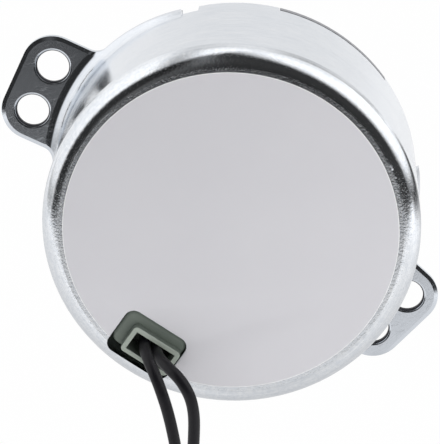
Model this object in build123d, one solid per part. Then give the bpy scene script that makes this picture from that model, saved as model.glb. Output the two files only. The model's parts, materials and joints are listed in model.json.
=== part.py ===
from build123d import *
import os
from math import acos, asin, atan2, cos, degrees, hypot, pi, radians, sin, sqrt, tan

# Geared synchronous motor, millimetres.
# +Y runs along the output shaft, +Z is up, and the lead outlet is at the bottom of the back face.
# The origin is on the motor axis, at the front (mounting) face of the cover plate.

# Steel cup
CUP_RADIUS = 25.0
SHEET = 0.8
CUP_CORNER_RADIUS = 2.3

# Cover plate, a disc that rests on the cup's rim
COVER_THICKNESS = 1.0

# Fixing ears, bent out of the cup's mouth, angles counted from straight up
EAR_ANGLE = 98.8
EAR_HOLE_REACH = 5.0
EAR_HOLE_SPACING = 7.07
EAR_HOLE_RADIUS = 2.25
EAR_CORNER_RADIUS = 4.35
EAR_BEND_RADIUS = 2.3
EAR_SHOULDER_SHIFT = 1.9
EAR_SHOULDER_INSET = 0.83
EAR_ROOT_RADIUS = 2.0
EAR_ROLL_WIDTH = 0.55
EAR_ROLL_DEPTH = 0.12
HOLE_EDGE_RADIUS = 0.4

# Crimp tabs of the cup, folded over the cover plate
TAB_ANGLES = (33.3, 153.0)
TAB_SPAN = 25.4
TAB_REACH = 2.4
TAB_FOLD_RADIUS = 1.0
RELIEF_SPAN = 5.4
RELIEF_DEPTH = 1.2
RIM_GAP = 0.3
TAB_CLEARANCE = 0.1

# Back label
LABEL_MARGIN = 0.6
LABEL_THICKNESS = 0.1
LABEL_CUT_MARGIN = 0.05

# Lead outlet: slot in the cup floor, and the block and collar of the bobbin that stand in it
SLOT_WIDTH = 9.5
SLOT_HEIGHT = 6.9
SLOT_SHIFT = -0.3
SLOT_TO_POLE_PLATE = 0.6
SLOT_CORNER_RADIUS = 1.4
OUTLET_CLEARANCE = 0.15
OUTLET_LOWER_GAP = 1.3
OUTLET_RECESS = 0.3
OUTLET_EDGE_RADIUS = 0.5
COLLAR_WIDTH = 7.3
COLLAR_HEIGHT = 4.1
COLLAR_STAND = 1.1
COLLAR_WALL = 0.65
COLLAR_CORNER_RADIUS = 0.6
COLLAR_EDGE_RADIUS = 0.2
COLLAR_END_MARGIN = 0.2

# Stator: twelve claws on each pole plate round a ring coil
POLE_PAIRS = 12
POLE_PLATE_THICKNESS = 0.8
STATOR_DEPTH = 13.3
CLAW_WIDTH = 2.0
CLAW_TIP_WIDTH = 1.3
CLAW_END_GAP = 0.6
LOWER_POLE_WIDTH = 3.9
PLATE_TO_WALL = 0.1
BOBBIN_HEIGHT = 9.1
BOBBIN_WALL = 0.9
BOBBIN_FLANGE = 1.2
BOBBIN_TO_CLAWS = 0.25
BOBBIN_TO_WALL = 0.5
COIL_THICKNESS = 3.5
TAPE_THICKNESS = 0.3
TERMINAL_RADIUS = 0.4
TERMINAL_HEIGHT = 4.0
TERMINAL_TO_COLLAR = 2.5

# Rotor
AIR_GAP = 0.4
MAGNET_WALL = 4.0
MAGNET_INSET = 0.5
ROTOR_WASHER_THICKNESS = 0.3
ROTOR_WASHER_RADIUS = 2.6
ROTOR_NECK_RADIUS = 1.9
ROTOR_NECK_CLEARANCE = 1.5
CENTRE_PIN_RADIUS = 1.0

# Gear train, from the rotor pinion to the output wheel
PRESSURE_ANGLE = 28.0
ADDENDUM = 0.9
DEDENDUM = 1.1
BACKLASH = 0.08
PINION_TEETH = (12, 10, 12, 10)
WHEEL_TEETH = (48, 50, 45, 40)
MODULE_RATIOS = (0.8, 0.8, 0.9, 1.0)
GEAR_TO_WALL = 1.17
FIRST_GEAR_ANGLE = 30.0
WHEEL_THICKNESS = 1.3
PINION_FACE = 1.7
LEVEL_GAP = 0.4
GEAR_HUB_RADIUS = 1.2
GEAR_PIN_RADIUS = 0.6
GEAR_END_PLAY = 0.15
TRAIN_END_PLAY = 0.3
BASE_PLATE_THICKNESS = 0.8
PIN_HEAD_RADIUS = 1.0
PIN_HEAD_HEIGHT = 0.3

# Posts between the base plate and the cover plate
POST_ANGLES = (200.0, 270.0, 340.0)
POST_TO_WALL = 0.8
POST_RADIUS = 1.6
POST_TENON_RADIUS = 0.9
POST_HEAD_RADIUS = 1.5
POST_HEAD_HEIGHT = 0.5

# Output shaft and its bush
SHAFT_RADIUS = 3.5
SHAFT_LENGTH = 14.0
SHAFT_FLAT_DEPTH = 0.6
SHAFT_CHAMFER = 0.4
JOURNAL_STEP = 0.5
GEAR_SEAT_STEP = 1.0
OUTPUT_HUB_WALL = 2.2
OUTPUT_HUB_LENGTH = 1.8
BUSH_WALL = 0.77
BUSH_FLANGE_WIDTH = 1.4
BUSH_FLANGE_THICKNESS = 0.5
BOSS_STEP = 0.7
BOSS_HEIGHT = 2.0
BOSS_CHAMFER = 0.3
SHOULDER_INSET = 0.2
THRUST_WASHER_THICKNESS = 0.3
THRUST_WASHER_WIDTH = 1.97
PIN_TIP_DEPTH = 1.0
PIN_TIP_CLEARANCE = 0.8

# Running fits, radial and along the axis
RUNNING_CLEARANCE = 0.03
AXIAL_CLEARANCE = 0.05

# How far a cutter runs past the piece that it cuts
CUT_MARGIN = 1.0

# Lead wires: routes as (X, distance in front of the back face, Z)
LEAD_RADIUS = 0.8
LEAD_TIP_RADIUS = 0.4
LEAD_TIP_LENGTH = 6.0
LEAD_ROUTES = (
    ((-0.9, 4.0, -19.4), (-0.9, -1.4, -19.4), (0.4, -4.3, -19.6), (2.9, -6.1, -20.8), (7.2, -6.2, -24.4),
     (13.2, -5.9, -31.0), (18.0, -5.6, -42.5), (20.0, -5.4, -58.5), (18.8, -5.4, -78.0), (19.8, -5.4, -96.0)),
    ((0.9, 4.0, -19.4), (0.9, -1.5, -19.3), (2.2, -4.8, -18.6), (5.2, -6.9, -18.4), (8.5, -6.9, -20.6),
     (11.8, -6.5, -25.8), (16.4, -6.2, -34.2), (20.8, -6.0, -46.0), (23.4, -5.8, -61.5), (23.0, -5.6, -78.5),
     (24.2, -5.4, -95.0)),
)

# Stack along the axis, from the front face backwards
COVER_INNER = -COVER_THICKNESS
BUSH_FLANGE_BACK = COVER_INNER - BUSH_FLANGE_THICKNESS
THRUST_WASHER_BACK = BUSH_FLANGE_BACK - THRUST_WASHER_THICKNESS
LEVEL_PITCH = PINION_FACE + LEVEL_GAP
TRAIN_FRONT = THRUST_WASHER_BACK
TRAIN_BACK = TRAIN_FRONT - len(WHEEL_TEETH) * LEVEL_PITCH
BASE_FRONT = TRAIN_BACK - TRAIN_END_PLAY
BASE_BACK = BASE_FRONT - BASE_PLATE_THICKNESS
BOBBIN_FRONT = BASE_BACK - POLE_PLATE_THICKNESS
BOBBIN_BACK = BOBBIN_FRONT - BOBBIN_HEIGHT
FLOOR_INNER = BOBBIN_BACK - POLE_PLATE_THICKNESS
BACK_FACE = FLOOR_INNER - SHEET

# Radii and places that follow from the cup, from the wall inwards
CUP_INNER_RADIUS = CUP_RADIUS - SHEET
LABEL_RADIUS = CUP_RADIUS - CUP_CORNER_RADIUS - LABEL_MARGIN
EAR_HOLE_CIRCLE_RADIUS = CUP_RADIUS + EAR_HOLE_REACH
POST_ORBIT = CUP_INNER_RADIUS - POST_TO_WALL - POST_RADIUS
CLAW_INNER_RADIUS = CUP_INNER_RADIUS - STATOR_DEPTH
CLAW_OUTER_RADIUS = CLAW_INNER_RADIUS + POLE_PLATE_THICKNESS
LOWER_POLE_RADIUS = CLAW_OUTER_RADIUS + LOWER_POLE_WIDTH
BOBBIN_INNER_RADIUS = CLAW_OUTER_RADIUS + BOBBIN_TO_CLAWS
COIL_INNER_RADIUS = BOBBIN_INNER_RADIUS + BOBBIN_WALL
COIL_OUTER_RADIUS = COIL_INNER_RADIUS + COIL_THICKNESS
BOBBIN_FLANGE_RADIUS = CUP_INNER_RADIUS - BOBBIN_TO_WALL
MAGNET_RADIUS = CLAW_INNER_RADIUS - AIR_GAP
MAGNET_BORE_RADIUS = MAGNET_RADIUS - MAGNET_WALL
SLOT_CENTRE_Z = -(LOWER_POLE_RADIUS + SLOT_TO_POLE_PLATE + SLOT_HEIGHT / 2)

# Radii that follow from the shaft and the pins
JOURNAL_RADIUS = SHAFT_RADIUS + JOURNAL_STEP
JOURNAL_BORE_RADIUS = JOURNAL_RADIUS + RUNNING_CLEARANCE
GEAR_SEAT_RADIUS = JOURNAL_RADIUS - GEAR_SEAT_STEP
OUTPUT_HUB_RADIUS = GEAR_SEAT_RADIUS + OUTPUT_HUB_WALL
BUSH_RADIUS = JOURNAL_BORE_RADIUS + BUSH_WALL
BUSH_FLANGE_RADIUS = BUSH_RADIUS + BUSH_FLANGE_WIDTH
BOSS_RADIUS = BUSH_RADIUS + BOSS_STEP
THRUST_WASHER_RADIUS = JOURNAL_BORE_RADIUS + THRUST_WASHER_WIDTH
GEAR_BORE_RADIUS = GEAR_PIN_RADIUS + RUNNING_CLEARANCE
CENTRE_BORE_RADIUS = CENTRE_PIN_RADIUS + RUNNING_CLEARANCE
ROTOR_NECK_OPENING = ROTOR_NECK_RADIUS + ROTOR_NECK_CLEARANCE

# The last module is the largest that keeps the third wheel, in mesh with the output wheel, clear of the wall
THIRD_WHEEL_REACH = (PINION_TEETH[3] + WHEEL_TEETH[3]) / 2 + MODULE_RATIOS[2] * (WHEEL_TEETH[2] / 2 + ADDENDUM)
LAST_MODULE = (CUP_INNER_RADIUS - GEAR_TO_WALL) / THIRD_WHEEL_REACH
STAGES = [
    (pinion, wheel, ratio * LAST_MODULE)
    for pinion, wheel, ratio in zip(PINION_TEETH, WHEEL_TEETH, MODULE_RATIOS)
]


def place(y, x=0.0, z=0.0):
    """Location of a sketch that faces the back: its x is +X, its y is +Z, its normal is -Y."""
    return Plane(origin=(x, y, z), x_dir=(1, 0, 0), z_dir=(0, -1, 0)).location


def slab(sketch, front, back, x=0.0, z=0.0):
    """A sketch drawn as seen from the back, extruded from the front plane to the back plane."""
    return place(front, x, z) * extrude(sketch, amount=front - back)


def disc(radius, front, back, x=0.0, z=0.0):
    return slab(Circle(radius), front, back, x, z)


def ring(outer, inner, front, back, x=0.0, z=0.0):
    return slab(Circle(outer) - Circle(inner), front, back, x, z)


def polar(radius, angle):
    return radius * cos(radians(angle)), radius * sin(radians(angle))


def from_up(angle):
    """Drawing angle of a direction counted anticlockwise from straight up, seen from the back."""
    return 90.0 + angle


def sector(inner, outer, middle, span):
    """Part of a flat ring, span degrees wide about the middle angle."""
    low = middle - span / 2
    high = middle + span / 2
    edges = [
        ThreePointArc(polar(outer, low), polar(outer, middle), polar(outer, high)),
        Line(polar(outer, high), polar(inner, high)),
        ThreePointArc(polar(inner, high), polar(inner, middle), polar(inner, low)),
        Line(polar(inner, low), polar(outer, low)),
    ]
    return make_face(edges)


def revolved(points):
    """A closed profile of (radius, y) points turned round the motor axis."""
    return revolve(make_face(Polyline(*points, close=True)), Axis.Y)


def crimp_tabs():
    """(middle, relief middle) of each tab, as drawing angles: the relief is on the side of the ear."""
    tabs = []
    for angle in TAB_ANGLES:
        towards_ear = 1 if angle < EAR_ANGLE else -1
        relief = angle + towards_ear * (TAB_SPAN + RELIEF_SPAN) / 2
        tabs.append((from_up(angle), from_up(relief)))
        tabs.append((from_up(-angle), from_up(-relief)))
    return tabs


def ear_holes():
    """(X, Z) of the four fixing holes."""
    half_angle = degrees(asin(EAR_HOLE_SPACING / 2 / EAR_HOLE_CIRCLE_RADIUS))
    angles = [EAR_ANGLE + side * half_angle for side in (-1, 1)]
    return [polar(EAR_HOLE_CIRCLE_RADIUS, from_up(way * a)) for way in (1, -1) for a in angles]


def slot_sketch(margin=0.0):
    outline = RectangleRounded(
        SLOT_WIDTH + 2 * margin, SLOT_HEIGHT + 2 * margin, SLOT_CORNER_RADIUS + margin
    )
    return Pos(SLOT_SHIFT, SLOT_CENTRE_Z) * outline


def motor_cup():
    inner_corner = CUP_CORNER_RADIUS - SHEET
    edges = [
        Line((0, BACK_FACE), (CUP_RADIUS - CUP_CORNER_RADIUS, BACK_FACE)),
        RadiusArc(
            (CUP_RADIUS - CUP_CORNER_RADIUS, BACK_FACE),
            (CUP_RADIUS, BACK_FACE + CUP_CORNER_RADIUS),
            -CUP_CORNER_RADIUS,
        ),
        Line((CUP_RADIUS, BACK_FACE + CUP_CORNER_RADIUS), (CUP_RADIUS, COVER_INNER)),
        Line((CUP_RADIUS, COVER_INNER), (CUP_INNER_RADIUS, COVER_INNER)),
        Line((CUP_INNER_RADIUS, COVER_INNER), (CUP_INNER_RADIUS, FLOOR_INNER + inner_corner)),
        RadiusArc(
            (CUP_INNER_RADIUS, FLOOR_INNER + inner_corner),
            (CUP_INNER_RADIUS - inner_corner, FLOOR_INNER),
            inner_corner,
        ),
        Line((CUP_INNER_RADIUS - inner_corner, FLOOR_INNER), (0, FLOOR_INNER)),
        Line((0, FLOOR_INNER), (0, BACK_FACE)),
    ]
    cup = revolve(make_face(edges), Axis.Y)
    for tab, relief in crimp_tabs():
        cup += crimp_tab(tab)
        cup -= rim_cut(relief, RELIEF_SPAN, RELIEF_DEPTH)
    cup -= rim_cut(from_up(0), 2 * TAB_ANGLES[0] - TAB_SPAN, RIM_GAP)
    cup -= rim_cut(from_up(180), 2 * (180 - TAB_ANGLES[1]) - TAB_SPAN, RIM_GAP)
    ear_middle, ear_span = ear_sector()
    for way in (1, -1):
        cup -= rim_cut(from_up(way * ear_middle), ear_span, EAR_BEND_RADIUS)
        cup += ear(way)
    for x, z in ear_holes():
        cup -= punched_hole(x, z)
    cup -= slab(slot_sketch(), FLOOR_INNER + CUT_MARGIN, BACK_FACE - CUT_MARGIN)
    cup -= disc(CENTRE_PIN_RADIUS, FLOOR_INNER + CUT_MARGIN, BACK_FACE - CUT_MARGIN)
    return cup


def rim_cut(middle, span, depth):
    """Cutter that takes the rim back by the depth over part of its circle."""
    cut = sector(CUP_INNER_RADIUS - CUT_MARGIN, CUP_RADIUS + CUT_MARGIN, middle, span)
    return slab(cut, COVER_INNER + CUT_MARGIN, COVER_INNER - depth)


def crimp_tab(angle):
    """One tab: it rises from the rim through the cover's notch and folds in over the cover's face."""
    fold_start = SHEET - TAB_FOLD_RADIUS
    leaf_tip = CUP_RADIUS - TAB_REACH
    edges = [
        Line((CUP_INNER_RADIUS, COVER_INNER), (CUP_RADIUS, COVER_INNER)),
        Line((CUP_RADIUS, COVER_INNER), (CUP_RADIUS, fold_start)),
        RadiusArc((CUP_RADIUS, fold_start), (CUP_RADIUS - TAB_FOLD_RADIUS, SHEET), -TAB_FOLD_RADIUS),
        Line((CUP_RADIUS - TAB_FOLD_RADIUS, SHEET), (leaf_tip, SHEET)),
        Line((leaf_tip, SHEET), (leaf_tip, 0)),
        Line((leaf_tip, 0), (CUP_INNER_RADIUS, 0)),
        Line((CUP_INNER_RADIUS, 0), (CUP_INNER_RADIUS, COVER_INNER)),
    ]
    tab = revolve(make_face(edges), Axis.Y, revolution_arc=TAB_SPAN)
    # The profile lies at +X. A positive turn about +Y carries +X towards -Z, so it starts at the upper end.
    return Rot(0, -(angle + TAB_SPAN / 2), 0) * tab


def ear_outline():
    """Blank of one ear along +X: a tongue round its holes that runs out into a shoulder along the cup."""
    half_width = EAR_HOLE_SPACING / 2 + EAR_CORNER_RADIUS
    outer = sqrt(EAR_HOLE_CIRCLE_RADIUS**2 - (EAR_HOLE_SPACING / 2) ** 2) + EAR_CORNER_RADIUS
    tongue = Rectangle(outer, 2 * half_width, align=(Align.MIN, Align.CENTER))
    tongue = fillet(tongue.vertices().group_by(Axis.X)[-1], EAR_CORNER_RADIUS)
    shoulder = Circle(CUP_RADIUS - EAR_SHOULDER_INSET)
    blank = tongue + Pos(EAR_SHOULDER_SHIFT, 0) * shoulder
    corner_start = outer - EAR_CORNER_RADIUS
    on_flanks = [v for v in blank.vertices() if abs(abs(v.Y) - half_width) < RUNNING_CLEARANCE]
    roots = [v for v in on_flanks if v.X < corner_start - EAR_ROOT_RADIUS]
    return fillet(roots, EAR_ROOT_RADIUS)


def ear_sector():
    """(middle, span) of the rim between two tabs that is bent out to an ear, counted from straight up."""
    low = TAB_ANGLES[0] + TAB_SPAN / 2 + RELIEF_SPAN
    high = TAB_ANGLES[1] - TAB_SPAN / 2 - RELIEF_SPAN
    return (low + high) / 2, high - low


def ear(way):
    """One ear, bent out from the cup's wall, trimmed to its blank and rolled along its back edge."""
    bend_start = COVER_INNER - EAR_BEND_RADIUS
    bend_end = CUP_RADIUS + EAR_BEND_RADIUS
    reach = EAR_HOLE_CIRCLE_RADIUS + EAR_CORNER_RADIUS + CUT_MARGIN
    front = COVER_INNER + SHEET
    edges = [
        Line((CUP_INNER_RADIUS, bend_start), (CUP_RADIUS, bend_start)),
        CenterArc((bend_end, bend_start), EAR_BEND_RADIUS, 90, 90),
        Line((bend_end, COVER_INNER), (reach, COVER_INNER)),
        Line((reach, COVER_INNER), (reach, front)),
        Line((reach, front), (bend_end, front)),
        CenterArc((bend_end, bend_start), EAR_BEND_RADIUS + SHEET, 90, 90),
    ]
    middle, span = ear_sector()
    strip = revolve(make_face(edges), Axis.Y, revolution_arc=span)
    strip = Rot(0, -(from_up(way * middle) + span / 2), 0) * strip
    blank = Rot(0, 0, from_up(way * EAR_ANGLE)) * ear_outline()
    strip &= slab(blank, front + CUT_MARGIN, bend_start - CUT_MARGIN)
    flat = strip.faces().filter_by_position(Axis.Y, COVER_INNER, COVER_INNER)[0]
    flat_edges = strip.edges().filter_by_position(Axis.Y, COVER_INNER, COVER_INNER)
    rolled = [e for e in flat_edges if hypot((e @ 0.5).X, (e @ 0.5).Z) > bend_end + RUNNING_CLEARANCE]
    return chamfer(rolled, EAR_ROLL_WIDTH, EAR_ROLL_DEPTH, reference=flat)


def punched_hole(x, z):
    """Cutter for one fixing hole, with the edge of its back rim rolled in by the punch."""
    flare = EAR_HOLE_RADIUS + HOLE_EDGE_RADIUS
    edges = [
        Line((0, CUT_MARGIN), (EAR_HOLE_RADIUS, CUT_MARGIN)),
        Line((EAR_HOLE_RADIUS, CUT_MARGIN), (EAR_HOLE_RADIUS, COVER_INNER + HOLE_EDGE_RADIUS)),
        RadiusArc(
            (EAR_HOLE_RADIUS, COVER_INNER + HOLE_EDGE_RADIUS), (flare, COVER_INNER), -HOLE_EDGE_RADIUS
        ),
        Line((flare, COVER_INNER), (flare, COVER_INNER - CUT_MARGIN)),
        Line((flare, COVER_INNER - CUT_MARGIN), (0, COVER_INNER - CUT_MARGIN)),
        Line((0, COVER_INNER - CUT_MARGIN), (0, CUT_MARGIN)),
    ]
    return Pos(x, 0, z) * revolve(make_face(edges), Axis.Y)


def cover_plate():
    plate = disc(CUP_RADIUS, 0, COVER_INNER)
    notch_floor = CUP_INNER_RADIUS - TAB_CLEARANCE
    tab_slack = degrees(TAB_CLEARANCE / CUP_RADIUS)
    for tab, relief in crimp_tabs():
        notch = sector(notch_floor, CUP_RADIUS + CUT_MARGIN, tab, TAB_SPAN + 2 * tab_slack)
        notch += sector(notch_floor, CUP_RADIUS + CUT_MARGIN, relief, RELIEF_SPAN)
        plate -= slab(notch, CUT_MARGIN, COVER_INNER - CUT_MARGIN)
    plate -= disc(BUSH_RADIUS, CUT_MARGIN, COVER_INNER - CUT_MARGIN)
    for x, z in gear_axes():
        plate -= disc(GEAR_PIN_RADIUS, CUT_MARGIN, COVER_INNER - CUT_MARGIN, x, z)
    for angle in POST_ANGLES:
        x, z = polar(POST_ORBIT, angle)
        plate -= disc(POST_TENON_RADIUS, CUT_MARGIN, COVER_INNER - CUT_MARGIN, x, z)
    return plate


def back_label():
    """Round film with a notch for the lead outlet, open at the label's edge."""
    notch_width = SLOT_WIDTH + 2 * LABEL_CUT_MARGIN
    notch_floor = LABEL_RADIUS + CUT_MARGIN + SLOT_CENTRE_Z
    notch = Rectangle(notch_width, notch_floor, align=(Align.CENTER, Align.MAX))
    notch = Pos(SLOT_SHIFT, SLOT_CENTRE_Z) * notch
    label = Circle(LABEL_RADIUS) - slot_sketch(LABEL_CUT_MARGIN) - notch
    return slab(label, BACK_FACE, BACK_FACE - LABEL_THICKNESS)


def claw(base_back, towards_front):
    """One upright claw at +X, tapering to its tip, standing on a pole plate's inner edge."""
    length = BOBBIN_HEIGHT + POLE_PLATE_THICKNESS - CLAW_END_GAP
    way = 1 if towards_front else -1
    profile = make_face(
        Polyline(
            (base_back, -CLAW_WIDTH / 2),
            (base_back + way * length, -CLAW_TIP_WIDTH / 2),
            (base_back + way * length, CLAW_TIP_WIDTH / 2),
            (base_back, CLAW_WIDTH / 2),
            close=True,
        )
    )
    # Profile x runs along +Y and profile y along +Z, on a plane square to +X.
    plane = Plane(origin=(CLAW_INNER_RADIUS - CUT_MARGIN, 0, 0), x_dir=(0, 1, 0), z_dir=(1, 0, 0))
    blank = plane.location * extrude(profile, amount=POLE_PLATE_THICKNESS + 2 * CUT_MARGIN)
    front = base_back + length
    back = base_back - length
    return blank & ring(CLAW_OUTER_RADIUS, CLAW_INNER_RADIUS, front, back)


def pole_plate(outer_radius, front, back, root, towards_front, offset):
    plate = ring(outer_radius, CLAW_INNER_RADIUS, front, back)
    step = 360.0 / POLE_PAIRS
    one = claw(root, towards_front)
    for index in range(POLE_PAIRS):
        plate += Rot(0, offset + index * step, 0) * one
    return plate


def lower_pole_plate():
    return pole_plate(LOWER_POLE_RADIUS, BOBBIN_BACK, FLOOR_INNER, FLOOR_INNER, True, 0.0)


def upper_pole_plate():
    half_step = 180.0 / POLE_PAIRS
    radius = CUP_INNER_RADIUS - PLATE_TO_WALL
    return pole_plate(radius, BASE_BACK, BOBBIN_FRONT, BASE_BACK, False, half_step)


def coil_bobbin():
    tube = ring(COIL_INNER_RADIUS, BOBBIN_INNER_RADIUS, BOBBIN_FRONT, BOBBIN_BACK)
    front = ring(
        BOBBIN_FLANGE_RADIUS, BOBBIN_INNER_RADIUS, BOBBIN_FRONT, BOBBIN_FRONT - BOBBIN_FLANGE
    )
    back = ring(BOBBIN_FLANGE_RADIUS, BOBBIN_INNER_RADIUS, BOBBIN_BACK + BOBBIN_FLANGE, BOBBIN_BACK)
    left, right, bottom, top = outlet_block()
    block = Pos((left + right) / 2, (bottom + top) / 2) * RectangleRounded(
        right - left, top - bottom, SLOT_CORNER_RADIUS - OUTLET_CLEARANCE
    )
    wire_notch = Rectangle(SLOT_WIDTH, BOBBIN_FLANGE_RADIUS, align=(Align.CENTER, Align.MAX))
    wire_notch = Pos(SLOT_SHIFT, bottom + SLOT_CORNER_RADIUS) * wire_notch
    collar_place = Pos(*collar_centre())
    collar = collar_place * RectangleRounded(COLLAR_WIDTH, COLLAR_HEIGHT, COLLAR_CORNER_RADIUS)
    bore = collar_place * Rectangle(COLLAR_WIDTH - 2 * COLLAR_WALL, COLLAR_HEIGHT - 2 * COLLAR_WALL)
    outlet_front = BOBBIN_BACK + BOBBIN_FLANGE
    bobbin = tube + front + back - slab(wire_notch, outlet_front + CUT_MARGIN, BOBBIN_BACK - CUT_MARGIN)
    bobbin += rounded_end(slab(block, outlet_front, BACK_FACE + OUTLET_RECESS), OUTLET_EDGE_RADIUS)
    bobbin += rounded_end(slab(collar, outlet_front, BACK_FACE - COLLAR_STAND), COLLAR_EDGE_RADIUS)
    bobbin -= slab(bore, BOBBIN_FRONT - BOBBIN_FLANGE, BACK_FACE - COLLAR_STAND - CUT_MARGIN)
    for x, z in terminal_places():
        bobbin -= disc(TERMINAL_RADIUS, BOBBIN_BACK + BOBBIN_FLANGE, BOBBIN_BACK, x, z)
    return bobbin


def rounded_end(piece, radius):
    """A moulded block with the edges of its back end rounded."""
    return fillet(piece.edges().group_by(Axis.Y)[0], radius)


def outlet_block():
    """(left, right, bottom, top) of the block that stands in the slot."""
    half_width = SLOT_WIDTH / 2 - OUTLET_CLEARANCE
    bottom = SLOT_CENTRE_Z - SLOT_HEIGHT / 2 + OUTLET_LOWER_GAP
    top = SLOT_CENTRE_Z + SLOT_HEIGHT / 2 - OUTLET_CLEARANCE
    return SLOT_SHIFT - half_width, SLOT_SHIFT + half_width, bottom, top


def collar_centre():
    """(X, Z) of the collar, near the block's right end and flush with its lower side."""
    left, right, bottom, top = outlet_block()
    return right - COLLAR_END_MARGIN - COLLAR_WIDTH / 2, bottom + COLLAR_HEIGHT / 2


def terminal_places():
    """(X, Z) of the two terminal pins, either side of the outlet's bore."""
    x, z = collar_centre()
    reach = COLLAR_WIDTH / 2 + TERMINAL_TO_COLLAR
    return [(x + way * reach, z) for way in (-1, 1)]


def coil_terminals():
    pins = [
        disc(TERMINAL_RADIUS, BOBBIN_BACK + TERMINAL_HEIGHT, BOBBIN_BACK, x, z)
        for x, z in terminal_places()
    ]
    return Compound(children=pins)


def coil_winding():
    return ring(
        COIL_OUTER_RADIUS, COIL_INNER_RADIUS, BOBBIN_FRONT - BOBBIN_FLANGE, BOBBIN_BACK + BOBBIN_FLANGE
    )


def winding_tape():
    return ring(
        COIL_OUTER_RADIUS + TAPE_THICKNESS,
        COIL_OUTER_RADIUS,
        BOBBIN_FRONT - BOBBIN_FLANGE,
        BOBBIN_BACK + BOBBIN_FLANGE,
    )


def involute(angle):
    return tan(angle) - angle


def gear_outline(teeth, module, turn=0.0):
    """Spur gear outline about the origin with one tooth centred on the turn angle, in degrees."""
    pitch_radius = teeth * module / 2
    base_radius = pitch_radius * cos(radians(PRESSURE_ANGLE))
    tip_radius = pitch_radius + ADDENDUM * module
    root_radius = pitch_radius - DEDENDUM * module
    start_radius = max(base_radius, root_radius)
    half_tooth = (pi * module / 2 - BACKLASH / 2) / (2 * pitch_radius)
    half_base = half_tooth + involute(radians(PRESSURE_ANGLE))

    def flank(radius):
        return degrees(half_base - involute(acos(base_radius / radius)))

    middle_radius = (start_radius + tip_radius) / 2
    step = 360.0 / teeth
    edges = []
    for index in range(teeth):
        centre = turn + index * step
        for side in (-1, 1):
            start = polar(start_radius, centre + side * flank(start_radius))
            middle = polar(middle_radius, centre + side * flank(middle_radius))
            tip = polar(tip_radius, centre + side * flank(tip_radius))
            edges.append(ThreePointArc(start, middle, tip))
            if root_radius < start_radius:
                edges.append(Line(polar(root_radius, centre + side * flank(start_radius)), start))
        edges.append(
            ThreePointArc(
                polar(tip_radius, centre - flank(tip_radius)),
                polar(tip_radius, centre),
                polar(tip_radius, centre + flank(tip_radius)),
            )
        )
        edges.append(
            ThreePointArc(
                polar(root_radius, centre + flank(start_radius)),
                polar(root_radius, centre + step / 2),
                polar(root_radius, centre + step - flank(start_radius)),
            )
        )
    return make_face(edges)


def centre_distance(stage):
    pinion, wheel, module = STAGES[stage]
    return (pinion + wheel) * module / 2


def angle_between(first, second, opposite):
    """Angle at the centre of a triangle with these two sides and this far side, in degrees."""
    return degrees(acos((first**2 + second**2 - opposite**2) / (2 * first * second)))


def gear_axes():
    """(X, Z) of the first, second and third gear: each meshes with the one before, the third with the output."""
    _, second_wheel, second_module = STAGES[1]
    first_orbit = centre_distance(0)
    second_orbit = CUP_INNER_RADIUS - GEAR_TO_WALL - (second_wheel / 2 + ADDENDUM) * second_module
    third_orbit = centre_distance(3)
    second_angle = FIRST_GEAR_ANGLE + angle_between(first_orbit, second_orbit, centre_distance(1))
    third_angle = second_angle + angle_between(second_orbit, third_orbit, centre_distance(2))
    return [
        polar(first_orbit, FIRST_GEAR_ANGLE),
        polar(second_orbit, second_angle),
        polar(third_orbit, third_angle),
    ]


def direction(start, end):
    return degrees(atan2(end[1] - start[1], end[0] - start[0]))


def meshed_turn(stage, start, end, pinion_turn):
    """Turn that puts a wheel at the end point in mesh with its pinion at the start point."""
    pinion, wheel, _ = STAGES[stage]
    line = direction(start, end)
    return line + 180.0 + (180.0 - pinion * (pinion_turn - line)) / wheel


def level_back(level):
    """Back of a level of the train, counted from 0 at the base plate."""
    return TRAIN_BACK + level * LEVEL_PITCH


def wheel_slab(stage, turn, place_xz):
    _, wheel, module = STAGES[stage]
    back = level_back(stage) + (LEVEL_PITCH - WHEEL_THICKNESS) / 2
    return slab(gear_outline(wheel, module, turn), back + WHEEL_THICKNESS, back, *place_xz)


def pinion_slab(stage, turn, place_xz):
    pinion, _, module = STAGES[stage]
    back = level_back(stage) + LEVEL_GAP / 2
    return slab(gear_outline(pinion, module, turn), back + PINION_FACE, back, *place_xz)


def idle_gear(index, turn):
    """First, second or third gear: wheel, pinion of the next stage and a full-height hub on its pin."""
    x, z = gear_axes()[index]
    hub_front = COVER_INNER - GEAR_END_PLAY
    hub_back = BASE_FRONT + GEAR_END_PLAY
    gear = wheel_slab(index, turn, (x, z))
    gear += pinion_slab(index + 1, turn, (x, z))
    gear += disc(GEAR_HUB_RADIUS, hub_front, hub_back, x, z)
    gear += web_hub(index, x, z)
    return gear - disc(GEAR_BORE_RADIUS, hub_front + CUT_MARGIN, hub_back - CUT_MARGIN, x, z)


def web_hub(index, x, z):
    """Short collar that joins the wheel to its pinion."""
    pinion, _, module = STAGES[index + 1]
    root = pinion * module / 2 - DEDENDUM * module
    wheel_back = level_back(index) + (LEVEL_PITCH - WHEEL_THICKNESS) / 2
    return disc(root, level_back(index + 1) + LEVEL_GAP / 2, wheel_back, x, z)


def gear_turns():
    """Turn of each wheel at rest, from the rotor pinion on."""
    places = [(0.0, 0.0)] + gear_axes() + [(0.0, 0.0)]
    turns = [0.0]
    for stage in range(len(STAGES)):
        turns.append(meshed_turn(stage, places[stage], places[stage + 1], turns[stage]))
    return turns


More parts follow.
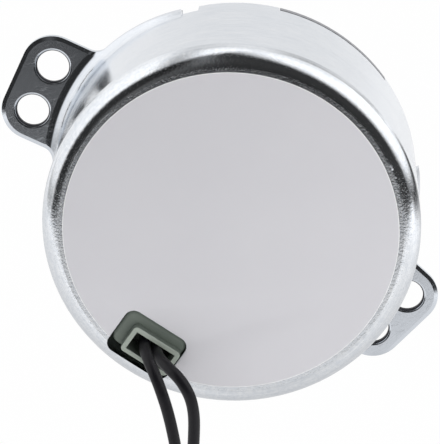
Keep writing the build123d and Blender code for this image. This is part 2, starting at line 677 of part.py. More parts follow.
def rotor_hub():
    hub_back = FLOOR_INNER + ROTOR_WASHER_THICKNESS + AXIAL_CLEARANCE
    magnet_back, magnet_front = magnet_span()
    pinion_back = level_back(0) + LEVEL_GAP / 2
    hub = disc(MAGNET_BORE_RADIUS, magnet_front, magnet_back)
    hub += disc(ROTOR_WASHER_RADIUS, magnet_back, hub_back)
    hub += disc(ROTOR_NECK_RADIUS, pinion_back, magnet_front)
    hub += pinion_slab(0, gear_turns()[0], (0.0, 0.0))
    return hub - disc(CENTRE_BORE_RADIUS, pinion_back + PINION_FACE + CUT_MARGIN, hub_back - CUT_MARGIN)


def magnet_span():
    """Back and front of the magnet, inside the claws."""
    back = FLOOR_INNER + ROTOR_WASHER_THICKNESS + AXIAL_CLEARANCE + MAGNET_INSET
    return back, BOBBIN_FRONT - MAGNET_INSET


def rotor_magnet():
    back, front = magnet_span()
    return ring(MAGNET_RADIUS, MAGNET_BORE_RADIUS, front, back)


def rotor_washer():
    return ring(ROTOR_WASHER_RADIUS, CENTRE_PIN_RADIUS, FLOOR_INNER + ROTOR_WASHER_THICKNESS, FLOOR_INNER)


def shaft_back():
    return THRUST_WASHER_BACK - AXIAL_CLEARANCE - OUTPUT_HUB_LENGTH


def centre_pin():
    return disc(CENTRE_PIN_RADIUS, shaft_back() + PIN_TIP_DEPTH, BACK_FACE)


def gear_base_plate():
    plate = ring(CUP_INNER_RADIUS - PLATE_TO_WALL, ROTOR_NECK_OPENING, BASE_FRONT, BASE_BACK)
    for x, z in gear_axes():
        plate -= disc(GEAR_PIN_RADIUS, BASE_FRONT, BASE_BACK, x, z)
    for angle in POST_ANGLES:
        plate -= disc(POST_TENON_RADIUS, BASE_FRONT, BASE_BACK, *polar(POST_ORBIT, angle))
    return plate


def domed_head(radius, height, x, z):
    """A head spread over the cover plate's front face, crowned by the staking tool."""
    sphere_radius = (radius**2 + height**2) / (2 * height)
    half_way = radius / 2
    half_way_height = height - sphere_radius + sqrt(sphere_radius**2 - half_way**2)
    edges = [
        Line((0, 0), (radius, 0)),
        ThreePointArc((radius, 0), (half_way, half_way_height), (0, height)),
        Line((0, height), (0, 0)),
    ]
    return Pos(x, 0, z) * revolve(make_face(edges), Axis.Y)


def gear_pins():
    """Three steel pins, pressed into the base plate and staked over the cover plate."""
    pins = []
    for x, z in gear_axes():
        pin = disc(GEAR_PIN_RADIUS, 0, BASE_BACK, x, z)
        pins.append(pin + domed_head(PIN_HEAD_RADIUS, PIN_HEAD_HEIGHT, x, z))
    return Compound(children=pins)


def spacer_posts():
    """Three shouldered posts, riveted over the cover plate."""
    posts = []
    for angle in POST_ANGLES:
        x, z = polar(POST_ORBIT, angle)
        post = disc(POST_TENON_RADIUS, 0, BASE_BACK, x, z)
        post += disc(POST_RADIUS, COVER_INNER, BASE_FRONT, x, z)
        posts.append(post + domed_head(POST_HEAD_RADIUS, POST_HEAD_HEIGHT, x, z))
    return Compound(children=posts)


def output_gear():
    hub_front = THRUST_WASHER_BACK - AXIAL_CLEARANCE
    gear = wheel_slab(3, gear_turns()[4], (0.0, 0.0))
    gear += disc(OUTPUT_HUB_RADIUS, hub_front, shaft_back())
    return gear - disc(GEAR_SEAT_RADIUS, hub_front + CUT_MARGIN, shaft_back() - CUT_MARGIN)


def output_shaft():
    hub_front = THRUST_WASHER_BACK - AXIAL_CLEARANCE
    shoulder = BOSS_HEIGHT - SHOULDER_INSET
    tip = shoulder + SHAFT_LENGTH
    profile = [
        (0, shaft_back()),
        (GEAR_SEAT_RADIUS, shaft_back()),
        (GEAR_SEAT_RADIUS, hub_front),
        (JOURNAL_RADIUS, hub_front),
        (JOURNAL_RADIUS, shoulder),
        (SHAFT_RADIUS, shoulder),
        (SHAFT_RADIUS, tip - SHAFT_CHAMFER),
        (SHAFT_RADIUS - SHAFT_CHAMFER, tip),
        (0, tip),
    ]
    shaft = revolved(profile)
    flat_floor = SHAFT_RADIUS - SHAFT_FLAT_DEPTH
    flat = Pos(0, shoulder, flat_floor) * Box(
        2 * SHAFT_RADIUS,
        SHAFT_LENGTH,
        SHAFT_RADIUS,
        align=(Align.CENTER, Align.MIN, Align.MIN),
    )
    blind_bore = disc(CENTRE_BORE_RADIUS, shaft_back() + PIN_TIP_DEPTH + PIN_TIP_CLEARANCE, shaft_back())
    return shaft - flat - blind_bore


def shaft_bush():
    return revolved(
        [
            (JOURNAL_BORE_RADIUS, BUSH_FLANGE_BACK),
            (BUSH_FLANGE_RADIUS, BUSH_FLANGE_BACK),
            (BUSH_FLANGE_RADIUS, COVER_INNER),
            (BUSH_RADIUS, COVER_INNER),
            (BUSH_RADIUS, 0),
            (BOSS_RADIUS, 0),
            (BOSS_RADIUS, BOSS_HEIGHT - BOSS_CHAMFER),
            (BOSS_RADIUS - BOSS_CHAMFER, BOSS_HEIGHT),
            (JOURNAL_BORE_RADIUS + BOSS_CHAMFER, BOSS_HEIGHT),
            (JOURNAL_BORE_RADIUS, BOSS_HEIGHT - BOSS_CHAMFER),
        ]
    )


def thrust_washer():
    return ring(THRUST_WASHER_RADIUS, JOURNAL_BORE_RADIUS, BUSH_FLANGE_BACK, THRUST_WASHER_BACK)


def lead_path(route):
    """Centre line of a lead: straight runs joined by tangent arcs as large as the runs allow."""
    points = [Vector(x, BACK_FACE + y, z) for x, y, z in route]
    radii = []
    for before, here, after in zip(points, points[1:], points[2:]):
        arriving = here - before
        leaving = after - here
        turn = radians(arriving.get_angle(leaving))
        shorter = min(arriving.length, leaving.length)
        radii.append(0.45 * shorter / tan(turn / 2))
    return FilletPolyline(*points, radius=radii), radii


def lead_wire(route):
    path, radii = lead_path(route)
    section = Plane(origin=path @ 0, z_dir=path % 0) * Circle(LEAD_RADIUS)
    lead = sweep(section, path)
    expected = pi * LEAD_RADIUS**2 * path.length
    print("lead radii", [round(r, 1) for r in radii])
    print("lead length", round(path.length, 1), "volume ratio", round(lead.volume / expected, 4))
    return lead


def lead_tips():
    """Bare tinned conductor beyond the end of each lead's insulation."""
    tips = []
    for route in LEAD_ROUTES:
        path, _ = lead_path(route)
        end = Plane(origin=path @ 1, z_dir=path % 1)
        tips.append(end * extrude(Circle(LEAD_TIP_RADIUS), amount=LEAD_TIP_LENGTH))
    return Compound(children=tips)


turns = gear_turns()
pieces = {
    "motor_cup": motor_cup(),
    "back_label": back_label(),
    "cover_plate": cover_plate(),
    "lower_pole_plate": lower_pole_plate(),
    "upper_pole_plate": upper_pole_plate(),
    "coil_bobbin": coil_bobbin(),
    "coil_winding": coil_winding(),
    "winding_tape": winding_tape(),
    "coil_terminals": coil_terminals(),
    "lead_wire_1": lead_wire(LEAD_ROUTES[0]),
    "lead_wire_2": lead_wire(LEAD_ROUTES[1]),
    "lead_tips": lead_tips(),
    "centre_pin": centre_pin(),
    "rotor_washer": rotor_washer(),
    "rotor_hub": rotor_hub(),
    "rotor_magnet": rotor_magnet(),
    "gear_base_plate": gear_base_plate(),
    "gear_pins": gear_pins(),
    "spacer_posts": spacer_posts(),
    "first_gear": idle_gear(0, turns[1]),
    "second_gear": idle_gear(1, turns[2]),
    "third_gear": idle_gear(2, turns[3]),
    "output_gear": output_gear(),
    "output_shaft": output_shaft(),
    "thrust_washer": thrust_washer(),
    "shaft_bush": shaft_bush(),
}

os.makedirs("parts", exist_ok=True)
for name, piece in pieces.items():
    export_step(piece, "parts/" + name + ".step")
print("gear axes", [(round(x, 4), round(z, 4)) for x, z in gear_axes()])
print("ear holes", [(round(x, 4), round(z, 4)) for x, z in ear_holes()])
print("back face", round(BACK_FACE, 3))
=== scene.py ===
import json
import math

import bpy
from mathutils import Matrix, Vector


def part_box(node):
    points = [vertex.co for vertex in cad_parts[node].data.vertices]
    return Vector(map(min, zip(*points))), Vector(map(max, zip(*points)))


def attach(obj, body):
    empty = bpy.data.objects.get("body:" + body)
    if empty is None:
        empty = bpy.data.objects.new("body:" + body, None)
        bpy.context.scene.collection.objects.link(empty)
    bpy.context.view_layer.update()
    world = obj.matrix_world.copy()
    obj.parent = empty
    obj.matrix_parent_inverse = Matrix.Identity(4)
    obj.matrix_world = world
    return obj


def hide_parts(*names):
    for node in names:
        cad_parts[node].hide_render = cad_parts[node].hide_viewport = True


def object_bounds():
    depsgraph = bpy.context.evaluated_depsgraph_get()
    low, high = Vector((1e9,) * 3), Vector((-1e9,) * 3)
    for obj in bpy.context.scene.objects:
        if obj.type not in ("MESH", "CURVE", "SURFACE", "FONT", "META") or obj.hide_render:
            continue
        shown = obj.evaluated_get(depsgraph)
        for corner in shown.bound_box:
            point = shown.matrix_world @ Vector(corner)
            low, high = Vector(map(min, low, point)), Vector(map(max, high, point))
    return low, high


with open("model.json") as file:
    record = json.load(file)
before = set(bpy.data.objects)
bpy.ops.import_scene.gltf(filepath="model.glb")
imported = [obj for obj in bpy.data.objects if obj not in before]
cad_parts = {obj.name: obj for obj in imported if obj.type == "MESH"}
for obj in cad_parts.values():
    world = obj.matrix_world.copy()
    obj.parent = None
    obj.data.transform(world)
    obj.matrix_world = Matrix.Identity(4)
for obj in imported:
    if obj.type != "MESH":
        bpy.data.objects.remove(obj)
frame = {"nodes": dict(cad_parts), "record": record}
cad_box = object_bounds()
nodes = frame["nodes"]
bpy.ops.object.select_all(action="DESELECT")


# The camera: it stands behind the motor, above and a little left of its axis, with a long
# lens, and is rolled so that the lead outlet comes low on the left.
camera_place = Vector((-0.048827, -0.290707, 0.093747))
camera_right = Vector((0.83046, 0.04788, 0.55501))
camera_up = Vector((-0.53276, 0.35938, 0.76617))
focal_length_pixels = 2200
picture_height_pixels = 444
sensor_width = 36.0

bpy.ops.object.camera_add()
camera = bpy.context.object
camera.name = "camera"
camera_back = camera_right.cross(camera_up)
turn = Matrix((camera_right, camera_up, camera_back)).transposed()
camera.matrix_world = Matrix.Translation(camera_place) @ turn.to_4x4()
camera.data.sensor_width = sensor_width
camera.data.lens = focal_length_pixels * sensor_width / picture_height_pixels
camera.data.clip_start = 0.01
bpy.context.scene.camera = camera
bpy.context.scene.view_settings.view_transform = "Standard"


# The studio: white panels above, on the left and below, drawn together round the motor.
# They leave a three-cornered dark opening in front, where the camera looks in, and seams.
class Shade:
    """A value in a finish or in the light. Sums on it add Math nodes, and node() any other node."""

    def __init__(self, tree, socket=None):
        self.tree = tree
        self.socket = socket

    def node(self, kind, settings=None, sockets=None, output=0):
        made = self.tree.nodes.new(kind)
        for name, value in (settings or {}).items():
            setattr(made, name, value)
        for name, value in (sockets or {}).items():
            if isinstance(value, Shade):
                self.tree.links.new(value.socket, made.inputs[name])
            else:
                made.inputs[name].default_value = value
        return Shade(self.tree, made.outputs[output] if made.outputs else None)

    def maths(self, operation, first, second=0.0):
        return self.node("ShaderNodeMath", {"operation": operation}, {0: first, 1: second})

    def __add__(self, other):
        return self.maths("ADD", self, other)

    def __radd__(self, other):
        return self.maths("ADD", other, self)

    def __sub__(self, other):
        return self.maths("SUBTRACT", self, other)

    def __rsub__(self, other):
        return self.maths("SUBTRACT", other, self)

    def __mul__(self, other):
        return self.maths("MULTIPLY", self, other)

    def __rmul__(self, other):
        return self.maths("MULTIPLY", other, self)

    def __truediv__(self, other):
        return self.maths("DIVIDE", self, other)

    def __pow__(self, other):
        return self.maths("POWER", self, other)

    def __abs__(self):
        return self.maths("ABSOLUTE", self)

    def at_most(self, other):
        return self.maths("MINIMUM", self, other)


def soft_step(value, start, end):
    """Goes smoothly from 0 where the value is at start to 1 where it is at end."""
    return value.node(
        "ShaderNodeMapRange",
        {"interpolation_type": "SMOOTHSTEP"},
        {"Value": value, "From Min": start, "From Max": end},
    )


def along(way, facing):
    """How far a direction points the facing way."""
    return way.node("ShaderNodeVectorMath", {"operation": "DOT_PRODUCT"}, {0: way, 1: facing}, "Value")


def panel_edge(way, facing, at, blur):
    """1 beyond a straight edge across the studio, 0 before it."""
    return soft_step(along(way, facing), at - blur / 2, at + blur / 2)


def seam(way, facing, at, half_width):
    """1 along the middle of a straight gap between two panels, 0 beside it."""
    return soft_step(abs(along(way, facing) - at), half_width, 0.0)


panel_light = 0.99
brightest_panel = 1.28
opening_dark = 0.97
across_opening = (-0.57, -0.24, 0.785)
studio = bpy.data.worlds.new("studio")
bpy.context.scene.world = studio
studio.use_nodes = True
studio.node_tree.nodes.clear()
way = Shade(studio.node_tree).node("ShaderNodeTexCoord", output="Generated")

top_panel = 0.47 * panel_edge(way, (0.19, -0.085, 0.98), 0.39, 0.70)
back_shade = 0.60 * panel_edge(way, (-0.20, 0.58, 0.79), 0.895, 0.20)
bright_edge = 0.18 * seam(way, across_opening, -0.20, 0.07)
panels = panel_light + along(way, (-0.16, -0.09, 0.24)) + top_panel - back_shade
panels = panels.at_most(brightest_panel) + bright_edge

opening = (
    panel_edge(way, across_opening, -0.124, 0.05)
    * panel_edge(way, (-0.28, -0.19, -0.94), -0.67, 0.36)
    * panel_edge(way, (0.87, -0.45, 0.20), -0.35, 0.22)
)
pale_patch = 0.14 * seam(way, (-0.8, 0.0, -0.6), 0.17, 0.13)
panels = panels * (1 - (opening_dark - pale_patch) * opening)

right_end = panel_edge(way, (0.19, 0.655, 0.73), 0.30, 0.44)
left_end = panel_edge(way, (-0.86, -0.45, 0.25), 0.39, 2.7)
low_end = panel_edge(way, (-0.85, -0.10, -0.52), 0.875, 0.14)
right_seam = 0.97 * right_end * seam(way, (-0.61, -0.01, 0.79), -0.20, 0.21)
left_seam = 0.80 * left_end * seam(way, (-0.60, 0.09, -0.79), 0.08, 0.24)
low_seam = 0.55 * low_end * seam(way, (0.74, 0.15, -0.66), -0.09, 0.13)
panels = panels * (1 - right_seam) * (1 - left_seam) * (1 - low_seam)

back_panel = panel_edge(way, (0.0, 1.0, 0.0), 0.905, 0.03)
back_panel_light = 0.945 + along(way, (0.18, 0.0, -0.22))
panels = panels + back_panel * (back_panel_light - panels)
seen_panels = way.node("ShaderNodeBackground", None, {"Color": (0.985, 0.99, 1.0, 1.0), "Strength": panels})
seen_white = way.node("ShaderNodeBackground", None, {"Color": (1.0, 1.0, 1.0, 1.0), "Strength": 1.0})
camera_looks = way.node("ShaderNodeLightPath", output="Is Camera Ray")
seen_studio = way.node("ShaderNodeMixShader", None, {0: camera_looks, 1: seen_panels, 2: seen_white})
way.node("ShaderNodeOutputWorld", None, {"Surface": seen_studio})

fill_lamp_place = Vector((0.22, -0.62, 0.12))
bpy.ops.object.light_add(type="AREA", location=fill_lamp_place)
fill_lamp = bpy.context.object
fill_lamp.name = "fill_lamp"
fill_lamp.rotation_euler = fill_lamp_place.to_track_quat("Z", "Y").to_euler()
fill_lamp.data.size = 0.5
fill_lamp.data.energy = 1.8
fill_lamp.visible_camera = False
fill_lamp.visible_glossy = False


# The floor: a sheet of white paper below the hanging leads. The camera sees most of it
# as plain white, and the rest of it takes the motor's soft shadow.
floor_size = 4.0
floor_drop = 0.008
plain_white_share = 0.97
bpy.ops.mesh.primitive_plane_add(size=floor_size, location=(0.0, 0.0, cad_box[0].z - floor_drop))
floor = bpy.context.object
floor.name = "floor"
floor.visible_glossy = False
paper = bpy.data.materials.new("white_paper")
paper.use_nodes = True
paper.node_tree.nodes.clear()
start = Shade(paper.node_tree)
matt_paper = start.node("ShaderNodeBsdfDiffuse", None, {"Color": (0.95, 0.95, 0.95, 1.0)})
lit_paper = start.node("ShaderNodeEmission", None, {"Color": (1.0, 1.0, 1.0, 1.0), "Strength": 1.0})
lit_share = plain_white_share * start.node("ShaderNodeLightPath", output="Is Camera Ray")
seen_paper = start.node("ShaderNodeMixShader", None, {0: lit_share, 1: matt_paper, 2: lit_paper})
start.node("ShaderNodeOutputMaterial", None, {"Surface": seen_paper})
floor.data.materials.append(paper)


# The motor cup: one sheet of steel drawn to a can, with two fixing ears bent out of its
# mouth and four tabs that crimp the plate, all barrel plated in bright zinc. The drawing
# leaves faint rings round it, and the tumbling a fine orange peel and a few scratches.
corner_radius = 0.0023
cup_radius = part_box("motor_cup")[1].z
wall_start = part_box("motor_cup")[0].y + corner_radius
mounts = {mount["name"]: mount for mount in frame["record"]["mounts"]}
ear_hole_pairs = [mounts["upper_ear_holes"], mounts["lower_ear_holes"]]
ear_holes = [(pair["dims"]["spacing_x_mm"] / 2000, pair["pos_m"][2]) for pair in ear_hole_pairs]
ear_hole_radius = ear_hole_pairs[0]["dims"]["hole_r_mm"] / 1000


def new_finish(name):
    """An empty finish, and the place on the piece to build it from."""
    finish = bpy.data.materials.new(name)
    finish.use_nodes = True
    finish.node_tree.nodes.clear()
    place = Shade(finish.node_tree).node("ShaderNodeTexCoord", output="Object")
    return finish, place


def grain(place, size, detail=3.0, stretch=(1.0, 1.0, 1.0), turn=(0.0, 0.0, 0.0)):
    """Cloudy values round 0.5 with features of that size in metres, drawn out by stretch."""
    scaled = place.node(
        "ShaderNodeMapping",
        {"vector_type": "TEXTURE"},
        {"Vector": place, "Scale": [size * longer for longer in stretch], "Rotation": turn},
    )
    return place.node("ShaderNodeTexNoise", None, {"Vector": scaled, "Scale": 1.0, "Detail": detail})


def sides(place):
    """The X, Y and Z of a place."""
    split = place.node("ShaderNodeSeparateXYZ", None, {"Vector": place}).socket.node
    return [Shade(place.tree, split.outputs[side]) for side in "XYZ"]


def off_axis(place, axis_x=0.0, axis_z=0.0):
    """Distance from an axis along Y, such as the motor's own."""
    x, y, z = sides(place)
    off_x = x - axis_x
    off_z = z - axis_z
    return (off_x * off_x + off_z * off_z) ** 0.5


def rings(place, size):
    """Fine rings round the motor's axis, on walls and on faces."""
    x, y, z = sides(place)
    radius = off_axis(place)
    ring_length = 0.0008
    around = place.node(
        "ShaderNodeCombineXYZ",
        None,
        {"X": ring_length * x / radius, "Y": y + radius, "Z": ring_length * z / radius},
    )
    return grain(around, size, 2.0)


def between(share, first, second):
    """A colour between two, by share. Each is three numbers or such a mixed colour."""
    ends = [end if isinstance(end, Shade) else (*end, 1.0) for end in (first, second)]
    return share.node("ShaderNodeMix", {"data_type": "RGBA"}, {0: share, 6: ends[0], 7: ends[1]}, 2)


def raised(height):
    """The shading of a surface raised by that height in metres."""
    return height.node("ShaderNodeBump", None, {"Strength": 1.0, "Distance": 1.0, "Height": height})


def surface(place, sockets):
    """Ends a finish with a shader that has those values."""
    shader = place.node("ShaderNodeBsdfPrincipled", None, sockets)
    place.node("ShaderNodeOutputMaterial", None, {"Surface": shader})


def dress(piece, finish):
    """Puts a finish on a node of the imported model."""
    for slot in piece.material_slots:
        slot.material = finish


def zinc_plating(name, sheared_and_shaded_share, sheared_and_shaded_colour):
    """Bright zinc with an orange peel where the sheet was drawn. Where the mask falls it is dull and takes
    a second colour: the plate's grey shear-cut edge, and painted shade on the cup's ear hole walls.
    """
    finish, place = new_finish(name)
    x, y, z = sides(place)
    drawn = soft_step(off_axis(place), cup_radius + 0.0015, cup_radius + 0.0005)
    wall = soft_step(y, wall_start - 0.0002, wall_start + 0.0010)
    # The mask gives the plate's grey shear-cut edge, and painted shade on the cup's ear hole walls.
    sheared_and_shaded = sheared_and_shaded_share(place)
    clouds = grain(place, 0.005)
    peel = grain(place, 0.00032, 2.0)
    pits = soft_step(grain(place, 0.00017, 1.0), 0.60, 0.70)
    marks = rings(place, 0.00012)
    lines = soft_step(marks, 0.34, 0.66)
    mottle = soft_step(grain(place, 0.0005, 4.0), 0.34, 0.66)
    worn = (1 - 0.6 * wall) * mottle
    scratches = soft_step(grain(place, 0.00035, 1.0, (1.0, 1.0, 26.0), (0.6, 0.2, 0.9)), 0.64, 0.70)
    paleness = (0.2 + 0.8 * drawn) * (0.42 * clouds + 0.3 * lines + 0.28 * worn)
    plated_colour = between(paleness, (0.70, 0.735, 0.785), (0.93, 0.94, 0.95))
    dullness = 0.07 * peel + 0.05 * marks + 0.05 * scratches + 0.06 * wall * drawn + 0.3 * sheared_and_shaded
    surface(
        place,
        {
            "Base Color": between(sheared_and_shaded, plated_colour, sheared_and_shaded_colour),
            "Metallic": 1.0,
            "Roughness": 0.06 + dullness,
            "Normal": raised(
                (0.000002 + 0.000006 * drawn) * peel
                + (0.000001 + 0.000002 * drawn) * pits
                + 0.000002 * marks
                + 0.0000008 * scratches
                + 0.00015 * wall
            ),
        },
    )
    return finish


def shaded_hole_walls(place):
    """1 on the walls of the four ear holes, which take a near-black painted shade."""
    x, y, z = sides(place)
    either_side = place.node("ShaderNodeCombineXYZ", None, {"X": abs(x), "Y": y, "Z": z})
    from_upper, from_lower = [off_axis(either_side, hole_x, hole_z) for hole_x, hole_z in ear_holes]
    return soft_step(from_upper.at_most(from_lower), ear_hole_radius + 0.00023, ear_hole_radius + 0.00011)


# The cup's ear hole walls are painted near black: painted shade inside the holes.
dress(nodes["motor_cup"], zinc_plating("zinc_cup", shaded_hole_walls, (0.03, 0.03, 0.035)))


# The centre pin: a ground steel pin pressed into the cup's floor. The rotor turns on
# it. Its finish is shared by the gear pins, the posts and the output shaft.
def ground_steel(name):
    """Bare steel, ground round the +Y axis, with fine rings on it."""
    finish, place = new_finish(name)
    marks = rings(place, 0.0002)
    clouds = grain(place, 0.004)
    surface(
        place,
        {
            "Base Color": between(clouds, (0.56, 0.56, 0.57), (0.68, 0.68, 0.68)),
            "Metallic": 1.0,
            "Roughness": 0.16 + 0.16 * marks,
            "Normal": raised(0.000004 * marks),
        },
    )
    return finish


steel = ground_steel("ground_steel")
dress(nodes["centre_pin"], steel)


# The stator's two pole plates and the gear base plate: soft iron stampings with a dull
# grey plating. The pole plates' claws are bent up between one another round the rotor.
def pole_iron(name):
    """Dull plated soft iron with a cloudy, slightly brown tarnish."""
    finish, place = new_finish(name)
    clouds = grain(place, 0.005, 5.0)
    pits = grain(place, 0.0003, 2.0)
    surface(
        place,
        {
            "Base Color": between(clouds, (0.42, 0.41, 0.39), (0.60, 0.60, 0.60)),
            "Metallic": 1.0,
            "Roughness": 0.34 + 0.18 * pits,
            "Normal": raised(0.000008 * pits),
        },
    )
    return finish


iron = pole_iron("pole_iron")
for name in ("lower_pole_plate", "upper_pole_plate", "gear_base_plate"):
    dress(nodes[name], iron)


# The coil bobbin: olive nylon moulded with short glass fibres, so its skin is matt and
# faintly streaked. Its outlet block and collar come through the slot in the cup.
collar_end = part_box("coil_bobbin")[0].y


def olive_nylon(name):
    finish, place = new_finish(name)
    x, y, z = sides(place)
    # The collar's end face is painted paler: a painted highlight on its rim.
    rim_highlight = soft_step(y, collar_end + 0.00015, collar_end + 0.00005)
    streaks = grain(place, 0.0004, 3.0, (6.0, 1.0, 1.0))
    clouds = grain(place, 0.002)
    skin_colour = between(0.6 * clouds + 0.4 * streaks, (0.105, 0.13, 0.112), (0.185, 0.212, 0.182))
    surface(
        place,
        {
            "Base Color": between(rim_highlight, skin_colour, (0.36, 0.40, 0.35)),
            "Roughness": 0.42 + 0.2 * streaks,
            "Normal": raised(0.000015 * streaks),
        },
    )
    return finish


dress(nodes["coil_bobbin"], olive_nylon("olive_nylon"))


# The coil winding: some thousands of turns of enamelled copper wire, layer on layer,
# with a band of yellow polyester tape lapped round the outside.
def copper_turns(name):
    finish, place = new_finish(name)
    turns = place.node(
        "ShaderNodeTexWave",
        {"wave_type": "BANDS", "bands_direction": "Y", "wave_profile": "SIN"},
        {"Vector": place, "Scale": 2600.0, "Distortion": 0.4, "Detail": 1.0},
    )
    clouds = grain(place, 0.003)
    surface(
        place,
        {
            "Base Color": between(0.5 * clouds + 0.5 * turns, (0.32, 0.09, 0.035), (0.72, 0.29, 0.13)),
            "Metallic": 0.8,
            "Roughness": 0.4 - 0.15 * turns,
            "Normal": raised(0.00005 * turns),
        },
    )
    return finish


def lapped_tape(name):
    finish, place = new_finish(name)
    wrinkles = grain(place, 0.0012, 3.0, (4.0, 1.0, 4.0))
    surface(
        place,
        {
            "Base Color": between(wrinkles, (0.62, 0.42, 0.03), (0.86, 0.66, 0.10)),
            "Roughness": 0.28 + 0.15 * wrinkles,
            "Normal": raised(0.00003 * wrinkles),
        },
    )
    return finish


dress(nodes["coil_winding"], copper_turns("copper_turns"))
dress(nodes["winding_tape"], lapped_tape("lapped_tape"))


# The coil terminals: two tinned wire pins in the bobbin's flange, soldered to the
# coil's ends. The stripped ends of the leads are tinned in the same way.
def tinned_copper(name):
    finish, place = new_finish(name)
    flow = grain(place, 0.0006, 2.0)
    surface(
        place,
        {
            "Base Color": between(flow, (0.62, 0.62, 0.61), (0.82, 0.82, 0.82)),
            "Metallic": 1.0,
            "Roughness": 0.18 + 0.2 * flow,
            "Normal": raised(0.00003 * flow),
        },
    )
    return finish


tin = tinned_copper("tinned_copper")
dress(nodes["coil_terminals"], tin)


# The two leads: stranded wire in soft black PVC, soldered to the terminals and brought
# out through the collar. They bend over its edge and hang, and their ends are stripped.
lead_diameter = 0.0016
lead_lengths = (0.0921, 0.0939)
lead_routes = (
    (
        (-0.0009, -0.0188, -0.0194),
        (-0.0009, -0.0242, -0.0194),
        (0.0004, -0.0271, -0.0196),
        (0.0029, -0.0289, -0.0208),
        (0.0072, -0.0290, -0.0244),
        (0.0132, -0.0287, -0.0310),
        (0.0180, -0.0284, -0.0425),
        (0.0200, -0.0282, -0.0585),
        (0.0188, -0.0282, -0.0780),
        (0.0198, -0.0282, -0.0960),
    ),
    (
        (0.0009, -0.0188, -0.0194),
        (0.0009, -0.0243, -0.0193),
        (0.0022, -0.0276, -0.0186),
        (0.0052, -0.0297, -0.0184),
        (0.0085, -0.0297, -0.0206),
        (0.0118, -0.0293, -0.0258),
        (0.0164, -0.0290, -0.0342),
        (0.0208, -0.0288, -0.0460),
        (0.0234, -0.0286, -0.0615),
        (0.0230, -0.0284, -0.0785),
        (0.0242, -0.0282, -0.0950),
    ),
)
tip_length = 0.00595
strand_radius = 0.000133
strand_sides = 10
strand_rings = 24
outer_strands = 6
strand_lay = math.radians(300)


def black_pvc(name):
    finish, place = new_finish(name)
    bloom = grain(place, 0.0015, 3.0)
    scuffs = grain(place, 0.0004, 3.0, (1.0, 1.0, 9.0), (0.0, 0.3, 0.0))
    surface(
        place,
        {
            "Base Color": between(bloom, (0.004, 0.0036, 0.0052), (0.010, 0.009, 0.012)),
            "Roughness": 0.24 + 0.14 * bloom + 0.16 * scuffs,
            "Normal": raised(0.00002 * bloom + 0.00002 * scuffs),
            "Specular IOR Level": 0.30,
        },
    )
    return finish


def new_piece(name, shape):
    """An object of that mesh or curve in the scene, selected alone."""
    piece = bpy.data.objects.new(name, shape)
    bpy.context.scene.collection.objects.link(piece)
    bpy.ops.object.select_all(action="DESELECT")
    piece.select_set(True)
    bpy.context.view_layer.objects.active = piece
    return piece


def one_strand():
    """A fine wire along +Z, drawn out ring by ring and cut off with a small burr."""
    bpy.ops.object.select_all(action="DESELECT")
    bpy.ops.mesh.primitive_circle_add(vertices=strand_sides, radius=strand_radius, fill_type="NGON")
    strand = bpy.context.object
    bpy.ops.object.mode_set(mode="EDIT")
    bpy.ops.mesh.select_all(action="SELECT")
    ring_height = tip_length / strand_rings
    for ring in range(strand_rings):
        bpy.ops.mesh.extrude_region_move(TRANSFORM_OT_translate={"value": (0.0, 0.0, ring_height)})
    bpy.ops.mesh.extrude_region_move(TRANSFORM_OT_translate={"value": (0.0, 0.0, 0.1 * strand_radius)})
    bpy.ops.transform.resize(value=(0.8, 0.8, 1.0))
    bpy.ops.mesh.select_all(action="SELECT")
    bpy.ops.mesh.normals_make_consistent(inside=False)
    bpy.ops.object.mode_set(mode="OBJECT")
    return strand


def stripped_end(name, end, heading):
    """One strand with six round it, twisted together past the insulation."""
    tip = one_strand()
    strands = [tip]
    for step in range(outer_strands):
        around = 2 * math.pi * step / outer_strands
        strand = new_piece(f"{name}_{step}", tip.data.copy())
        strand.location = (2 * strand_radius * math.cos(around), 2 * strand_radius * math.sin(around), 0.0)
        strands.append(strand)
    for strand in strands:
        strand.select_set(True)
    bpy.context.view_layer.objects.active = tip
    bpy.ops.object.join()
    lay = tip.modifiers.new("lay", "SIMPLE_DEFORM")
    lay.deform_method = "TWIST"
    lay.deform_axis = "Z"
    lay.angle = strand_lay
    bpy.ops.object.modifier_apply(modifier=lay.name)
    tip.name = name
    tip.matrix_world = Matrix.Translation(end) @ heading.to_track_quat("Z", "Y").to_matrix().to_4x4()
    bpy.ops.object.transform_apply(location=True, rotation=True, scale=True)
    bpy.ops.object.shade_smooth_by_angle(angle=math.radians(50))
    tip.data.materials.clear()
    tip.data.materials.append(tin)
    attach(tip, "case")
    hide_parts("lead_tips")
    return tip


pvc = black_pvc("black_pvc")
for number, (route, length) in enumerate(zip(lead_routes, lead_lengths), 1):
    line = bpy.data.curves.new(f"lead_{number}", "CURVE")
    line.dimensions = "3D"
    line.bevel_depth = lead_diameter / 2
    line.bevel_resolution = 6
    line.resolution_u = 16
    line.use_fill_caps = True
    run = line.splines.new("NURBS")
    run.points.add(len(route) - 1)
    for point, stop in zip(run.points, route):
        point.co = (*stop, 1.0)
    run.order_u = 3
    run.use_endpoint_u = True
    line.materials.append(pvc)
    lead = new_piece(f"lead_{number}", line)
    lead.visible_glossy = False
    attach(lead, "case")
    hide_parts(f"lead_wire_{number}")
    end = Vector(route[-1])
    tip = stripped_end(f"lead_tip_{number}", end, end - Vector(route[-2]))


# The rotor: a ring of black ferrite, magnetised in stripes, on a white acetal hub with
# the first pinion moulded to it. A thin washer carries it on the cup's floor.
def white_acetal(name):
    finish, place = new_finish(name)
    clouds = grain(place, 0.003)
    skin = grain(place, 0.0002, 2.0)
    surface(
        place,
        {
            "Base Color": between(clouds, (0.76, 0.75, 0.71), (0.84, 0.83, 0.80)),
            "Roughness": 0.3 + 0.15 * skin,
            "Normal": raised(0.000006 * skin),
        },
    )
    return finish


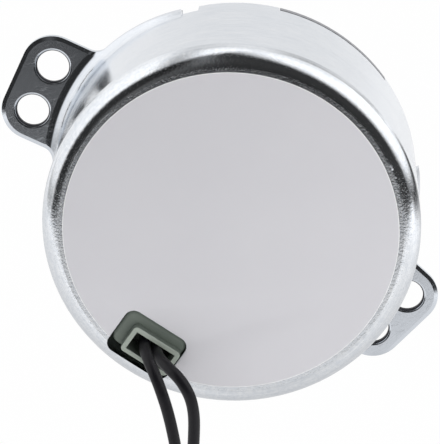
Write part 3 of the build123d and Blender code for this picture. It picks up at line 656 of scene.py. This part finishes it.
def ferrite(name):
    finish, place = new_finish(name)
    grit = grain(place, 0.00025, 3.0)
    surface(
        place,
        {
            "Base Color": between(grit, (0.018, 0.018, 0.02), (0.05, 0.05, 0.052)),
            "Roughness": 0.45 + 0.25 * grit,
            "Normal": raised(0.00002 * grit),
        },
    )
    return finish


acetal = white_acetal("white_acetal")
for name in ("rotor_washer", "rotor_hub"):
    dress(nodes[name], acetal)
dress(nodes["rotor_magnet"], ferrite("ferrite"))


# The gear train between the plates: three acetal wheels with pinions on steel pins, and
# three steel posts that hold the plates apart. Pins and posts are staked over in front.
for name in ("first_gear", "second_gear", "third_gear"):
    dress(nodes[name], acetal)
for name in ("gear_pins", "spacer_posts"):
    dress(nodes[name], steel)


# The output: a brass wheel pressed on the steel shaft, which turns in a flanged brass
# bush in the cover plate. The bush's front end is the boss that centres the motor.
def turned_brass(name):
    """Brass with the fine rings that the lathe leaves round the +Y axis."""
    finish, place = new_finish(name)
    lathe = rings(place, 0.00011)
    clouds = grain(place, 0.004)
    surface(
        place,
        {
            "Base Color": between(clouds, (0.60, 0.41, 0.16), (0.76, 0.56, 0.25)),
            "Metallic": 1.0,
            "Roughness": 0.2 + 0.15 * lathe,
            "Normal": raised(0.000005 * lathe),
        },
    )
    return finish


brass = turned_brass("turned_brass")
for name in ("output_gear", "shaft_bush"):
    dress(nodes[name], brass)
dress(nodes["output_shaft"], steel)
dress(nodes["thrust_washer"], acetal)


# The cover plate: a steel disc stamped with notches for the cup's tabs, which are crimped
# over it, and zinc plated like the cup. Its sheared edge shows as a grey line.
plate_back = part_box("cover_plate")[0].y


def plate_edge(place):
    """1 on the disc's edge."""
    x, y, z = sides(place)
    outermost = soft_step(off_axis(place), cup_radius - 0.00015, cup_radius - 0.00005)
    return outermost * soft_step(y, plate_back - 0.00005, plate_back)


dress(nodes["cover_plate"], zinc_plating("zinc_cover", plate_edge, (0.42, 0.42, 0.44)))


# The back label: a round of satin silver polyester film stuck to the cup's floor, cut
# out round the lead outlet. Its die-cut edge is rounded over, and a painted highlight
# along it shows as a pale line.
label_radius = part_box("back_label")[1].x
label_edge = 0.00008


def satin_film(name):
    finish, place = new_finish(name)
    cut_edge_highlight = soft_step(off_axis(place), label_radius - 1.5 * label_edge, label_radius - label_edge)
    sheen = grain(place, 0.012)
    fibre = grain(place, 0.00012, 2.0)
    face_colour = between(sheen, (0.69, 0.682, 0.715), (0.725, 0.717, 0.745))
    surface(
        place,
        {
            # The cut edge is painted near white: a painted highlight along the rounded edge.
            "Base Color": between(cut_edge_highlight, face_colour, (0.93, 0.93, 0.93)),
            "Metallic": 0.18 - 0.1 * cut_edge_highlight,
            "Roughness": 0.44 + 0.1 * fibre - 0.2 * cut_edge_highlight,
            "Normal": raised(0.000003 * fibre),
        },
    )
    return finish


label = new_piece("label_film", nodes["back_label"].data.copy())
bpy.ops.mesh.customdata_custom_splitnormals_clear()
bpy.ops.object.mode_set(mode="EDIT")
bpy.ops.mesh.select_all(action="SELECT")
bpy.ops.mesh.remove_doubles(threshold=0.000001)
bpy.ops.mesh.dissolve_limited(angle_limit=math.radians(0.5))
bpy.ops.object.mode_set(mode="OBJECT")
rounding = label.modifiers.new("rounding", "BEVEL")
rounding.width = label_edge
rounding.segments = 3
rounding.limit_method = "ANGLE"
rounding.angle_limit = math.radians(45)
bpy.ops.object.modifier_apply(modifier=rounding.name)
bpy.ops.object.shade_smooth_by_angle(angle=math.radians(40))
label.data.materials.clear()
label.data.materials.append(satin_film("satin_film"))
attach(label, "case")
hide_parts("back_label")
